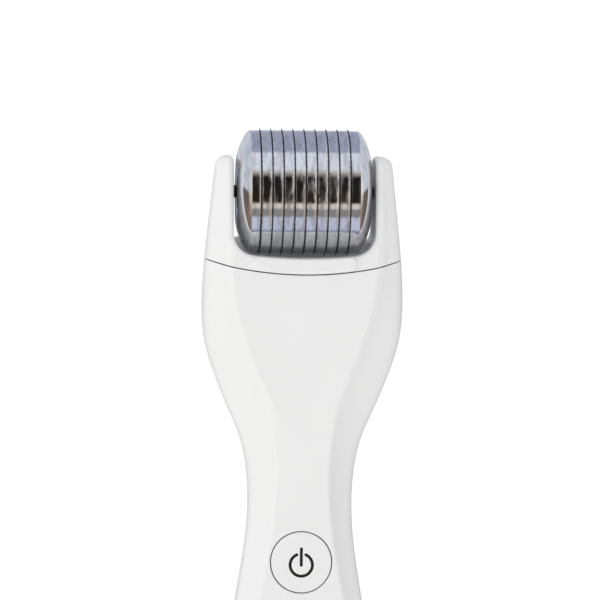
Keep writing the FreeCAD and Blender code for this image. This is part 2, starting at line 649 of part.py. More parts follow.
def retaining_springs():
    """Two leaf springs whose bumps click into the notches of the spigot."""
    springs = []
    for side in (-1, 1):
        plate_x = sorted(side * (SOCKET_HALF[0] + x) for x in LEAF_X)
        leaf = box(*plate_x, -LEAF_HALF_WIDTH, LEAF_HALF_WIDTH, *LEAF_Z)
        middle = Vec(side * (SOCKET_HALF[0] + CATCH_X), 0, CATCH_Z)
        outer, inner = BUMP_RADII
        half_length = Y_AXIS * BUMP_HALF_LENGTH
        bump = rod(outer, middle - half_length, middle + half_length)
        bump = bump.cut(rod(inner, middle - half_length - Y_AXIS, middle + half_length + Y_AXIS))
        reach = sorted((0, side * (SOCKET_HALF[0] + sum(LEAF_X) / 2)))
        bump = bump.common(box(*reach, -BIG, BIG, *LEAF_Z))
        springs.append(leaf.fuse(bump).removeSplitter())
    return solids_of(*springs)


def fork(form):
    """The white fork: two arms, the cradle, the raised lip, and the spigot with its notches."""
    head = form.common(seam_block(SEAM_HALF_GAP, True))
    head = head.common(between(SPIGOT_Z, ARM_TOP_Z)).cut(cradle_space())
    top_edges = [e for e in head.Edges if middle_of(e).z > ARM_TOP_Z - ON_SURFACE]
    outer_top = [e for e in top_edges if abs(middle_of(e).x) > ARM_INNER_X + ON_SURFACE]
    head = head.makeFillet(ARM_TOP_ROUNDING, outer_top)
    head = head.makeFillet(OPENING_ROUNDING, opening_edges(head, form))
    head = head.fuse(lip())
    spigot_half = [h - SPIGOT_CLEARANCE for h in SOCKET_HALF]
    spigot = rounded_block(*spigot_half, SPIGOT_CORNER, SPIGOT_Z, SEAM_Z + SPIGOT_ROOT)
    head = head.fuse(spigot)
    for side in (-1, 1):
        middle = Vec(side * (SOCKET_HALF[0] + CATCH_X), 0, CATCH_Z)
        half_length = Y_AXIS * NOTCH_HALF_LENGTH
        head = head.cut(rod(NOTCH_RADIUS, middle - half_length, middle + half_length))
    hollow_half = [half - wall for half, wall in zip(spigot_half, SPIGOT_WALLS)]
    hollow = rounded_block(*hollow_half, 1.0, SPIGOT_Z - MARGIN, SEAM_Z - SPIGOT_ROOF)
    head = head.cut(hollow.cut(box(-SPIGOT_WEB, SPIGOT_WEB, -BIG, BIG, 0, TOP)))
    head = head.cut(rod(AXLE_RADIUS, axle_point(-BIG), axle_point(BIG)))
    for side in (-1, 1):
        seat = axle_point(side * (AXLE_HALF_LENGTH + 2 * PLUG_GAP))
        head = head.cut(rod(PLUG_RADIUS, seat, axle_point(side * BIG)))
    return head


def opening_edges(head, form):
    """The edges where the cradle's opening meets the head's outer surface and the arms' tops."""
    skin = form.Shells[0]
    edges = []
    for edge in head.Edges:
        place = middle_of(edge)
        low = edge.BoundBox.ZMin
        on_arm_top = abs(abs(place.x) - ARM_INNER_X) < ON_SURFACE and low > ARM_TOP_Z - 2 * ARM_TOP_ROUNDING
        on_skin = skin.distToShape(Part.Vertex(place))[0] < ON_SURFACE
        between_arms = abs(place.x) < ARM_INNER_X + ON_SURFACE
        above_seam = low > (SEAM_Z + LEDGE_Z) / 2 + MARGIN
        if on_arm_top or (on_skin and between_arms and above_seam):
            edges.append(edge)
    return edges


def cradle_window():
    """The opening between the arms with its two rounded lower corners, as a block along Y."""
    drum = Part.makeCylinder(LEDGE_RADIUS, 2 * BIG, Vec(0, -BIG, LEDGE_Z + LEDGE_RADIUS), Y_AXIS)
    low = box(-ARM_INNER_X, ARM_INNER_X, -BIG, BIG, LEDGE_Z - 3, LEDGE_Z + 30).common(drum)
    window = low.fuse(box(-ARM_INNER_X, ARM_INNER_X, -BIG, BIG, LEDGE_Z + 20, 200)).removeSplitter()
    corners = [e for e in window.Edges if e.BoundBox.YLength > BIG and e.CenterOfMass.z < LEDGE_Z + 6]
    return window.makeFillet(CRADLE_CORNER, corners)


def cradle_space():
    """The space that the roller turns in: open ahead over a ledge, and round the roller at the back."""
    drum = rod(CRADLE_RADIUS, axle_point(-BIG), axle_point(BIG))
    ahead = box(-BIG, BIG, -BIG, AXIS_Y, 0, TOP)
    above = between(AXIS_Z, TOP)
    trough = rod(CRADLE_RADIUS, axle_point(-TROUGH_HALF_LENGTH), axle_point(TROUGH_HALF_LENGTH))
    trough = trough.makeFillet(TROUGH_CORNER, [e for e in trough.Edges if e.BoundBox.XLength < 0.01])
    return cradle_window().common(drum.fuse([ahead, above])).fuse(trough)


def lip():
    """The raised bar with round ends under the cradle, which a thumb pushes to pull the head off."""
    low_z = SEAM_Z + SEAM_HALF_GAP + LIP_SEAM_CLEARANCE
    over = Part.makeCylinder(LEDGE_RADIUS, 2 * BIG, Vec(0, -BIG, LEDGE_Z + LEDGE_RADIUS), Y_AXIS)
    under = Part.makeCylinder(SEAM_RADIUS, 2 * BIG, Vec(0, -BIG, low_z + SEAM_RADIUS), Y_AXIS)
    bar = box(-LIP_HALF_LENGTH, LIP_HALF_LENGTH, -BIG, LIP_BACK_Y, SEAM_Z - MARGIN, LEDGE_Z + 5 * MARGIN)
    bar = bar.common(under).cut(over)
    ends = [e for e in bar.Edges if e.BoundBox.YLength > 10]
    bar = bar.makeFillet(LIP_END_RADIUS, ends).common(body_form(-LIP_PROUD))
    face_edges = [e for e in bar.Edges if e.BoundBox.YMax < LIP_FACE_Y]
    return bar.makeFillet(LIP_ROUNDING, face_edges)


# ---- roller -------------------------------------------------------------------------------------------

def axle_point(x):
    """A point on the roller's axis."""
    return Vec(x, AXIS_Y, AXIS_Z)


def axle_plug(form, side):
    """The round cover that closes the axle's hole on the outside of one arm."""
    plug = rod(PLUG_RADIUS, axle_point(side * (AXLE_HALF_LENGTH + 3 * PLUG_GAP)), axle_point(side * BIG))
    return plug.common(form)


def key_block():
    """The driving key along the core."""
    top = AXIS_Z + CORE_RADIUS + KEY_HEIGHT
    half = KEY_WIDTH / 2
    reach = (DISC_COUNT - 1) / 2 * DISC_PITCH + DISC_THICKNESS / 2
    return box(-reach, reach, AXIS_Y - half, AXIS_Y + half, AXIS_Z + CORE_RADIUS - KEY_ROOT, top)


def roller_core():
    """The plastic core that the discs and rings are stacked on."""
    core = tube(CORE_RADIUS, CORE_BORE, axle_point(-CORE_HALF_LENGTH), axle_point(CORE_HALF_LENGTH))
    return core.fuse(key_block()).removeSplitter()


def needle_disc(index):
    """One thin steel disc with a ring of needles round its edge."""
    outline = []
    half_base = NEEDLE_BASE_WIDTH / 2 / NEEDLE_ROOT_RADIUS
    root, tip = NEEDLE_ROOT_RADIUS, NEEDLE_TIP_RADIUS
    corners_of_needle = ((-half_base, root), (0, tip), (half_base, root))
    for needle in range(NEEDLES_PER_DISC):
        angle = 2 * math.pi * (needle + 0.5 * (index % 2)) / NEEDLES_PER_DISC
        for shift, radius in corners_of_needle:
            outline.append((radius * math.cos(angle + shift), radius * math.sin(angle + shift)))
    x0 = (index - (DISC_COUNT - 1) / 2) * DISC_PITCH - DISC_THICKNESS / 2
    corners = [Vec(x0, AXIS_Y + y, AXIS_Z + z) for y, z in outline]
    plate = Part.Face(Part.makePolygon(corners + corners[:1])).extrude(Vec(DISC_THICKNESS, 0, 0))
    plate = plate.cut(rod(CORE_RADIUS, axle_point(-BIG), axle_point(BIG)))
    return plate.cut(key_slot(x0 - MARGIN, x0 + DISC_THICKNESS + MARGIN))


def key_slot(x0, x1):
    """The slot for the key, cut through one ring."""
    half = KEY_WIDTH / 2 + KEY_CLEARANCE
    top = AXIS_Z + CORE_RADIUS + KEY_HEIGHT + KEY_CLEARANCE
    return box(x0, x1, AXIS_Y - half, AXIS_Y + half, AXIS_Z, top)


def spacer_ring(index):
    """One polished ring between two discs, with small bevels on its edges."""
    x0 = (index - (DISC_COUNT - 1) / 2) * DISC_PITCH + DISC_THICKNESS / 2
    x1 = x0 + DISC_PITCH - DISC_THICKNESS
    low = SPACER_RADIUS - SPACER_CHAMFER
    ring = turned([(x0, CORE_RADIUS), (x0, low), (x0 + SPACER_CHAMFER, SPACER_RADIUS),
                   (x1 - SPACER_CHAMFER, SPACER_RADIUS), (x1, low), (x1, CORE_RADIUS)],
                  axle_point(0), X_AXIS)
    return ring.cut(key_slot(x0 - MARGIN, x1 + MARGIN))


def end_cap(side):
    """One chromed end cap: a cylindrical band that runs into a domed bevel and a flat end."""
    start = (DISC_COUNT - 1) / 2 * DISC_PITCH + DISC_THICKNESS / 2
    hub_x, hub_radius = CAP_HUB

    def at(x, radius):
        return Vec(side * x, AXIS_Y, AXIS_Z + radius)

    wall_x = CAP_END_X - CAP_WALL
    corners = [
        at(CAP_END_X, CAP_END_RADIUS), at(CAP_END_X, BUSH_RADIUS),
        at(hub_x, BUSH_RADIUS), at(hub_x, hub_radius),
        at(wall_x, hub_radius), at(wall_x, CAP_RECESS_RADIUS), at(start - CAP_LAP, CAP_RECESS_RADIUS),
        at(start - CAP_LAP, CORE_BORE), at(CORE_HALF_LENGTH, CORE_BORE), at(CORE_HALF_LENGTH, CORE_RADIUS),
        at(start, CORE_RADIUS),
        at(start, CAP_BAND_RADIUS - SPACER_CHAMFER), at(start + SPACER_CHAMFER, CAP_BAND_RADIUS),
        at(CAP_BAND_END_X, CAP_BAND_RADIUS),
    ]
    edges = [Part.LineSegment(a, b).toShape() for a, b in zip(corners, corners[1:])]
    edges.append(Part.Arc(corners[-1], at(*CAP_BEND), corners[0]).toShape())
    face = Part.Face(Part.Wire(edges))
    return face.revolve(axle_point(0), X_AXIS, 360)


def axle_bush(side):
    """The plastic bush in one end cap; its nose keeps the roller off the arm."""
    start_x, nose_x = CAP_HUB[0], ARM_INNER_X - BUSH_END_GAP
    outer = rod(BUSH_RADIUS, axle_point(side * start_x), axle_point(side * CAP_END_X))
    nose = rod(BUSH_NOSE_RADIUS, axle_point(side * start_x), axle_point(side * nose_x))
    bore_start, bore_end = axle_point(side * (start_x - MARGIN)), axle_point(side * (nose_x + MARGIN))
    bore = rod(AXLE_RADIUS + RUNNING_CLEARANCE, bore_start, bore_end)
    return outer.fuse(nose).cut(bore).removeSplitter()


# ---- build and write ----------------------------------------------------------------------------------

def build():
    """Every sub-part by name."""
    form = body_form()
    inside = body_form(WALL)
    parts = {}
    parts["front_shell"], parts["rear_shell"] = handle_shells(form, inside)
    parts["base_cap"] = base_cap(form, inside)
    parts["power_button"], parts["power_symbol"] = power_button(form)
    parts["button_return_pad"] = tube(
        *PAD_RADII, Vec(0, PAD_Y, BUTTON_Z), Vec(0, BOARD_FRONT_Y - PAD_CLEARANCE, BUTTON_Z))
    parts["switch_housing"], parts["switch_plunger"] = switch_parts()
    parts["main_board"], parts["board_chips"] = circuit_board()
    parts["board_screws"] = board_screws()
    parts["battery_cell"] = cell()
    parts["usb_socket"], parts["charging_board"] = charging_parts()
    parts["motor_can"], parts["motor_boot"], parts["motor_shaft"], parts["eccentric_weight"] = motor_parts()
    parts["charging_leads"], parts["battery_leads"], parts["motor_leads"] = leads()
    parts["socket_collar"] = socket_collar()
    parts["retaining_springs"] = retaining_springs()
    parts["fork"] = fork(form)
    parts["axle"] = rod(AXLE_RADIUS, axle_point(-AXLE_HALF_LENGTH), axle_point(AXLE_HALF_LENGTH))
    parts["roller_core"] = roller_core()
    for side, name in ((-1, "left"), (1, "right")):
        parts[f"axle_plug_{name}"] = axle_plug(form, side)
        parts[f"end_cap_{name}"] = end_cap(side)
        parts[f"axle_bush_{name}"] = axle_bush(side)
    for index in range(DISC_COUNT):
        parts[f"needle_disc_{index + 1}"] = needle_disc(index)
    for index in range(DISC_COUNT - 1):
        parts[f"spacer_ring_{index + 1}"] = spacer_ring(index)
    return parts


def write(parts):
    """One STEP file for each sub-part."""
    os.makedirs("parts", exist_ok=True)
    for name, shape in parts.items():
        good = shape.isValid() and all(s.isClosed() for s in shape.Solids) and shape.Solids
        print(f"{name}: {len(shape.Solids)} solid(s), {shape.Volume:.1f} mm3, {'ok' if good else 'BAD'}")
        Part.makeCompound(shape.Solids).exportStep(f"parts/{name}.step")


write(build())
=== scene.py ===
import bpy
import json
import math
from mathutils import Matrix, Vector


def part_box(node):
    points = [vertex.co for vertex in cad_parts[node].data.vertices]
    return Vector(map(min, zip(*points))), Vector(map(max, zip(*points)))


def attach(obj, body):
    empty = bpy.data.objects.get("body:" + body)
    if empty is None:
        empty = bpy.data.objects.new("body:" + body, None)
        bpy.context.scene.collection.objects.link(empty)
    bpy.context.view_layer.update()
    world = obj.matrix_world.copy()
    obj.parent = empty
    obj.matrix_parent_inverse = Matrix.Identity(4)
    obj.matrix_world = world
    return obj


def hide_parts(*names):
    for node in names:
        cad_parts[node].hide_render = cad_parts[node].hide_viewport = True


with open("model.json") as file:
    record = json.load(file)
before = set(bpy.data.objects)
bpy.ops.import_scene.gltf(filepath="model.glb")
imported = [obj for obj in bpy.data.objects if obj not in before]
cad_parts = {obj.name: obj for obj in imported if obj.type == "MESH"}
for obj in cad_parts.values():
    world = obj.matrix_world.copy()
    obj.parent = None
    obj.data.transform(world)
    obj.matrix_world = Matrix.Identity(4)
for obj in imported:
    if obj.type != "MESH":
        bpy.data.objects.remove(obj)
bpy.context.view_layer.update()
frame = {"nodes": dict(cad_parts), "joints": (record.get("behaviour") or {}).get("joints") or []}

nodes = frame["nodes"]


# ---- camera -------------------------------------------------------------------------------------------
# A long lens looks slightly down at the front of the roller, a little from the left. The camera is rolled by
# under a degree, so that the roller leans a little.
VIEW_AZIMUTH, VIEW_ELEVATION, VIEW_ROLL = math.radians(-3.3), math.radians(4.0), math.radians(0.7)
VIEW_DISTANCE = 1.0
VIEW_WIDTH = 0.120            # how much of the object the view takes in from side to side
VIEW_SHIFT = -0.0025          # the object stands a little right of the middle
FAR = 60.0                    # beyond the floor's edge
VIEW_CENTRE = Vector((0.0, 0.0, 0.1306))
SENSOR_WIDTH = 36.0

camera_data = bpy.data.cameras.new("camera")
camera = bpy.data.objects.new("camera", camera_data)
bpy.context.scene.collection.objects.link(camera)
towards_camera = Vector((math.sin(VIEW_AZIMUTH) * math.cos(VIEW_ELEVATION),
                         -math.cos(VIEW_AZIMUTH) * math.cos(VIEW_ELEVATION),
                         math.sin(VIEW_ELEVATION)))
facing = (-towards_camera).to_track_quat("-Z", "Y").to_matrix() @ Matrix.Rotation(VIEW_ROLL, 3, "Z")
camera.location = VIEW_CENTRE + towards_camera * VIEW_DISTANCE
camera.rotation_euler = facing.to_euler()
camera_data.sensor_width = SENSOR_WIDTH
camera_data.lens = SENSOR_WIDTH * VIEW_DISTANCE / VIEW_WIDTH
camera_data.shift_x = VIEW_SHIFT
camera_data.clip_end = FAR
bpy.context.scene.camera = camera
bpy.context.scene.view_settings.view_transform = "Standard"


# ---- floor --------------------------------------------------------------------------------------------
# A wide sheet of matt white card that the roller stands on. It glows a little, as overexposed white card
# does, so that it stays plain white under the white plastic.
CARD_FIBRES = 400.0           # per metre
CARD_ROUGHNESS = 0.9
CARD_GLOW = 0.3


def linear(hex_colour):
    """The linear colour of an sRGB hex value."""
    parts = [int(hex_colour[start:start + 2], 16) / 255 for start in (0, 2, 4)]
    return [c / 12.92 if c <= 0.04045 else ((c + 0.055) / 1.055) ** 2.4 for c in parts] + [1.0]


def add(tree, kind, inputs=None, **settings):
    """A new node with its settings; each input gets a value, or a link from another node's output."""
    node = tree.nodes.new("ShaderNode" + kind)
    for name, value in settings.items():
        setattr(node, name, value)
    for name, value in (inputs or {}).items():
        if isinstance(value, bpy.types.NodeSocket):
            tree.links.new(value, node.inputs[name])
        else:
            node.inputs[name].default_value = value
    return node


def new_material(name):
    """An empty material, its node tree and its main shader."""
    material = bpy.data.materials.new(name)
    material.use_nodes = True
    return material, material.node_tree, material.node_tree.nodes["Principled BSDF"]


def deselect_all():
    bpy.ops.object.select_all(action="DESELECT")


deselect_all()
bpy.ops.mesh.primitive_plane_add(size=FAR, location=(0, 0, 0))
floor = bpy.context.object
floor.name = "floor"
floor.visible_glossy = False
card, card_tree, card_shader = new_material("white_card")
card_place = add(card_tree, "TexCoord")
card_fibres = add(card_tree, "TexNoise", {"Vector": card_place.outputs["Object"], "Scale": CARD_FIBRES})
card_tint = add(card_tree, "Mix", {0: card_fibres.outputs["Fac"], 6: linear("F1F1F2"), 7: linear("F4F4F4")},
                data_type="RGBA")
card_tree.links.new(card_tint.outputs[2], card_shader.inputs["Base Color"])
card_shader.inputs["Roughness"].default_value = CARD_ROUGHNESS
card_shader.inputs["Emission Color"].default_value = (1, 1, 1, 1)
card_shader.inputs["Emission Strength"].default_value = CARD_GLOW
floor.data.materials.append(card)


# ---- studio light -------------------------------------------------------------------------------------
# A white tent lit from the front left. Matt surfaces see its soft light, which falls off to the right. The
# metal mirrors its panels: bright cloth above and below, and the dark room through the opening in front.
PANELS_AHEAD = [                # degrees up from the front horizon, and the panel's colour from there on
    (-180, "9AA0B4"), (-76, "8D93A5"), (-73, "C3C8DA"), (-47, "C3C8DA"), (-44, "8A8A88"), (-31, "8A8A88"),
    (-28, "D8CFC8"), (-21, "D8CFC8"), (-17, "2A2420"), (30, "171412"), (39, "B8AEA6"), (46, "DDE0EA"),
    (80, "E2E4EE"), (84, "A0A5B8"), (150, "A0A5B8"), (178, "D0D3E0"),
]
PANELS_BESIDE = [
    (-180, "6A6058"), (-70, "8C7C6C"), (-40, "C4B09C"), (-10, "E8DCCE"), (20, "EEEAE4"), (60, "DCE2DE"),
    (120, "C8D0DC"), (179, "D0D4DC"),
]
SOFT_LIGHT = [(0.0, "FFFFFF"), (0.5, "FFFFFF"), (0.76, "D2D2D4"), (1.0, "A6A6AA")]   # from left to right
SOFT_STRENGTH = 0.97
BESIDE_FROM, BESIDE_TO = 0.13, 0.25             # how far sideways the panels ahead give way to those beside

world = bpy.data.worlds.new("studio")
bpy.context.scene.world = world
world.use_nodes = True
sky = world.node_tree
sky.nodes.clear()


def colour_band(tree, place, stops):
    """A colour ramp along a 0 to 1 value with its stops."""
    band = add(tree, "ValToRGB", {"Fac": place})
    points = band.color_ramp.elements
    while len(points) < len(stops):
        points.new(1.0)
    for point, (position, colour) in zip(points, stops):
        point.position = position
        point.color = linear(colour)
    return band.outputs["Color"]


def by_turn(table):
    """Ramp stops for a table in degrees from -180 to 180."""
    return [((degrees + 180) / 360, colour) for degrees, colour in table]


sky_direction = add(sky, "SeparateXYZ", {0: add(sky, "TexCoord").outputs["Generated"]})
ahead = add(sky, "Math", {0: sky_direction.outputs["Y"], 1: -1.0}, operation="MULTIPLY")
height_angle = add(sky, "Math", {0: sky_direction.outputs["Z"], 1: ahead.outputs[0]}, operation="ARCTAN2")
turn = add(sky, "MapRange", {"Value": height_angle.outputs[0], "From Min": -math.pi, "From Max": math.pi})
aside = add(sky, "Math", {0: sky_direction.outputs["X"]}, operation="ABSOLUTE")
beside = add(sky, "MapRange", {"Value": aside.outputs[0], "From Min": BESIDE_FROM, "From Max": BESIDE_TO})
panels = add(sky, "Mix", {0: beside.outputs[0], 6: colour_band(sky, turn.outputs[0], by_turn(PANELS_AHEAD)),
                          7: colour_band(sky, turn.outputs[0], by_turn(PANELS_BESIDE))}, data_type="RGBA")
across = add(sky, "MapRange", {"Value": sky_direction.outputs["X"], "From Min": -1.0, "From Max": 1.0})
soft = add(sky, "Background", {"Color": colour_band(sky, across.outputs[0], SOFT_LIGHT),
                               "Strength": SOFT_STRENGTH})
mirrored = add(sky, "Background", {"Color": panels.outputs[2], "Strength": 1.0})
plain = add(sky, "Background", {"Color": (1, 1, 1, 1), "Strength": 1.0})
ray = add(sky, "LightPath")
first_bounces = add(sky, "Math", {0: ray.outputs["Diffuse Depth"], 1: 0.5}, operation="LESS_THAN")
sees_panels = add(sky, "Math", {0: ray.outputs["Is Glossy Ray"], 1: first_bounces.outputs[0]},
                  operation="MULTIPLY")
lit = add(sky, "MixShader", {0: sees_panels.outputs[0], 1: soft.outputs[0], 2: mirrored.outputs[0]})
seen = add(sky, "MixShader", {0: ray.outputs["Is Camera Ray"], 1: lit.outputs[0], 2: plain.outputs[0]})
add(sky, "OutputWorld", {0: seen.outputs[0]})


# ---- handle shells, base cap, fork and axle plugs ------------------------------------------------------
# The casing is injection-moulded ABS in gloss white: two shells clipped along the sides, a base cap, and the
# fork that pulls off. Polished moulds leave it smooth, with a faint orange peel and slightly uneven gloss.
MM = 0.001


def clothe(material, *names):
    """Gives CAD nodes that already have the right shape a better material."""
    for name in names:
        for slot in nodes[name].material_slots:
            slot.material = material


white_abs, tree, shader = new_material("gloss_white_moulded_abs")
place = add(tree, "TexCoord").outputs["Object"]
flow = add(tree, "TexNoise", {"Vector": place, "Scale": 1 / (28 * MM), "Detail": 2.0})       # resin flow
tint = add(tree, "Mix", {0: flow.outputs["Fac"], 6: linear("F3F3F2"), 7: linear("F6F6F5")}, data_type="RGBA")
handled = add(tree, "TexNoise", {"Vector": place, "Scale": 1 / (7 * MM), "Detail": 2.0})     # handling marks
gloss = add(tree, "MapRange", {"Value": handled.outputs["Fac"], "From Min": 0.35, "From Max": 0.65,
                               "To Min": 0.30, "To Max": 0.33})
peel = add(tree, "TexNoise", {"Vector": place, "Scale": 1 / (0.9 * MM), "Detail": 1.0})      # orange peel
relief = add(tree, "Bump", {"Height": peel.outputs["Fac"], "Strength": 0.25, "Distance": 0.004 * MM})
tree.links.new(tint.outputs[2], shader.inputs["Base Color"])
tree.links.new(gloss.outputs[0], shader.inputs["Roughness"])
tree.links.new(relief.outputs[0], shader.inputs["Normal"])
shader.inputs["IOR"].default_value = 1.54
clothe(white_abs, "front_shell", "rear_shell", "base_cap", "fork", "power_button", "axle_plug_left",
       "axle_plug_right")


# ---- power sign ---------------------------------------------------------------------------------------
# The sign on the button is black two-pack ink filled into a shallow recess and wiped flush. It is nearly
# matt, with a fine grain of pigment.
def finish(name, colours, grain, roughness, relief_depth, stretch=(1, 1, 1), metallic=0.0, ior=1.5):
    """A material whose colour and gloss drift between two values over a grain, in relief."""
    material, tree, shader = new_material(name)
    place = add(tree, "Mapping", {"Vector": add(tree, "TexCoord").outputs["Object"], "Scale": stretch})
    grains = add(tree, "TexNoise", {"Vector": place.outputs[0], "Scale": 1 / grain, "Detail": 4.0})
    spread = add(tree, "MapRange", {"Value": grains.outputs["Fac"], "From Min": 0.3, "From Max": 0.7})
    tint = add(tree, "Mix", {0: spread.outputs[0], 6: linear(colours[0]), 7: linear(colours[1])},
               data_type="RGBA")
    gloss = add(tree, "MapRange", {"Value": grains.outputs["Fac"], "From Min": 0.3, "From Max": 0.7,
                                   "To Min": roughness[0], "To Max": roughness[1]})
    bump = add(tree, "Bump", {"Height": grains.outputs["Fac"], "Strength": 0.5, "Distance": relief_depth})
    tree.links.new(tint.outputs[2], shader.inputs["Base Color"])
    tree.links.new(gloss.outputs[0], shader.inputs["Roughness"])
    tree.links.new(bump.outputs[0], shader.inputs["Normal"])
    shader.inputs["Metallic"].default_value = metallic
    if not metallic:
        shader.inputs["IOR"].default_value = ior
    return material


clothe(finish("filled_black_ink", ("0B0B0C", "141415"), 0.15 * MM, (0.45, 0.6), 0.005 * MM), "power_symbol")


# ---- needle discs -------------------------------------------------------------------------------------
# Nine thin discs of hard stainless steel, each with sixty ground needles round its edge. They are stacked on
# the core with a ring between each pair, and every second disc is turned by half a needle.
axle_centre = Vector(next(j["pos_m"] for j in frame["joints"] if j["name"] == "roller_spin"))
NEEDLES = 60
DISC_RADIUS = 11.78 * MM
NEEDLE_ROOT, NEEDLE_POINT = 0.10 * MM, 0.012 * MM
NEEDLE_SINK = 0.2 * MM        # how far a needle's root reaches into the disc
NEEDLE_SIDES = 8
EDGE_DROP = 0.04 * MM
WELD = 1e-6                   # points nearer than this are one
CORE_RADIUS = 8.5 * MM
disc_low, disc_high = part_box("needle_disc_1")
NEEDLE_REACH = disc_high.z - axle_centre.z


def lathe(name, outline, steps):
    """A closed piece turned round the axle from a closed outline of (x, radius) points."""
    deselect_all()
    bpy.ops.mesh.primitive_circle_add(vertices=len(outline), radius=MM, location=(0, 0, 0))
    piece = bpy.context.object
    piece.name = name
    for vertex, (x, radius) in zip(piece.data.vertices, outline):
        vertex.co = (x, axle_centre.y, axle_centre.z + radius)
    bpy.ops.object.mode_set(mode="EDIT")
    bpy.ops.mesh.select_all(action="SELECT")
    bpy.ops.mesh.spin(steps=steps, angle=math.tau, center=axle_centre, axis=(1, 0, 0))
    bpy.ops.mesh.select_all(action="SELECT")
    bpy.ops.mesh.remove_doubles(threshold=WELD)
    bpy.ops.mesh.normals_make_consistent(inside=False)
    bpy.ops.object.mode_set(mode="OBJECT")
    bpy.ops.object.shade_smooth_by_angle(angle=math.radians(35))
    return piece


def copy_of(piece, name, move):
    """A copy with its own mesh, moved within that mesh."""
    twin = piece.copy()
    twin.data = piece.data.copy()
    twin.name = name
    twin.data.transform(move)
    bpy.context.scene.collection.objects.link(twin)
    return twin


def about_axle(angle):
    """A turn round the axle."""
    there = Matrix.Translation(axle_centre)
    return there @ Matrix.Rotation(angle, 4, "X") @ there.inverted()


half_disc = (disc_high.x - disc_low.x) / 2
plate = lathe("needle_plate", [(-half_disc, CORE_RADIUS), (-half_disc, DISC_RADIUS - EDGE_DROP),
                               (-half_disc + EDGE_DROP, DISC_RADIUS), (half_disc - EDGE_DROP, DISC_RADIUS),
                               (half_disc, DISC_RADIUS - EDGE_DROP), (half_disc, CORE_RADIUS)], 120)
deselect_all()
needle_length = NEEDLE_REACH - DISC_RADIUS + NEEDLE_SINK
bpy.ops.mesh.primitive_cone_add(
    vertices=NEEDLE_SIDES, radius1=NEEDLE_ROOT, radius2=NEEDLE_POINT, depth=needle_length,
    location=(0, axle_centre.y, axle_centre.z + NEEDLE_REACH - needle_length / 2))
needles = bpy.context.object
bpy.ops.object.transform_apply(location=True, rotation=True, scale=True)
bpy.ops.object.mode_set(mode="EDIT")
bpy.ops.mesh.select_all(action="SELECT")
bpy.ops.mesh.spin(steps=NEEDLES - 1, dupli=True, angle=math.tau * (NEEDLES - 1) / NEEDLES, center=axle_centre,
                  axis=(1, 0, 0))
bpy.ops.object.mode_set(mode="OBJECT")
bpy.ops.object.shade_smooth_by_angle(angle=math.radians(50))
plate.select_set(True)
bpy.context.view_layer.objects.active = plate
bpy.ops.object.join()
ground_steel = finish("ground_stainless_steel", ("4A4A4E", "76767C"), 0.4 * MM, (0.22, 0.36), 0.004 * MM,
                      stretch=(6, 1, 1), metallic=1.0)
plate.data.materials.append(ground_steel)

for number in range(1, 10):
    low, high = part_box(f"needle_disc_{number}")
    offset = Matrix.Translation(((low.x + high.x) / 2, 0, 0))
    disc = copy_of(plate, f"needles_{number}", about_axle(math.pi / NEEDLES * (number % 2)) @ offset)
    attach(disc, "roller")
    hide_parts(f"needle_disc_{number}")
bpy.data.objects.remove(plate)


# ---- polished rings -----------------------------------------------------------------------------------
# Eight turned rings, chromium plated and polished, keep the needle discs apart. Polishing leaves them
# slightly crowned with soft corners, fine lines run round them from the lathe, and they show smears of use.
RING_DROP = 0.035 * MM        # how far the crown falls to the corners
RING_CORNER = 0.10 * MM
RING_STEPS = 180              # faces round a ring or a cap
CROWN_STEPS = 4               # faces from the crown's middle to its corner
CROWN_POWER = 2.6             # how flat the crown's middle is


def chrome(name, lines_depth, smear_depth, smear_roughness):
    """Polished chromium plate with turning lines round the axle and smears over it."""
    material, tree, shader = new_material(name)
    place = add(tree, "TexCoord").outputs["Object"]
    round_axle = add(tree, "Mapping", {"Vector": place, "Scale": (1, 0.01, 0.01)})
    lines = add(tree, "TexNoise", {"Vector": round_axle.outputs[0], "Scale": 1 / (0.12 * MM), "Detail": 2.0})
    streaked = add(tree, "Mapping", {"Vector": place, "Scale": (1, 0.30, 0.30), "Rotation": (0, 0.35, 0.25)})
    smears = add(tree, "TexNoise", {"Vector": streaked.outputs[0], "Scale": 1 / (0.95 * MM), "Detail": 1.5})
    clean = add(tree, "MapRange", {"Value": smears.outputs["Fac"], "From Min": 0.4, "From Max": 0.7})
    gloss = add(tree, "MapRange", {"Value": clean.outputs[0], "To Min": 0.05, "To Max": smear_roughness})
    tint = add(tree, "Mix", {0: clean.outputs[0], 6: linear("EDEEF2"), 7: linear("CFCFD4")}, data_type="RGBA")
    fine = add(tree, "Bump", {"Height": lines.outputs["Fac"], "Strength": 0.6, "Distance": lines_depth})
    broad = add(tree, "Bump", {"Height": smears.outputs["Fac"], "Strength": 1.0, "Distance": smear_depth,
                               "Normal": fine.outputs[0]})
    tree.links.new(tint.outputs[2], shader.inputs["Base Color"])
    tree.links.new(gloss.outputs[0], shader.inputs["Roughness"])
    tree.links.new(broad.outputs[0], shader.inputs["Normal"])
    shader.inputs["Metallic"].default_value = 1.0
    return material


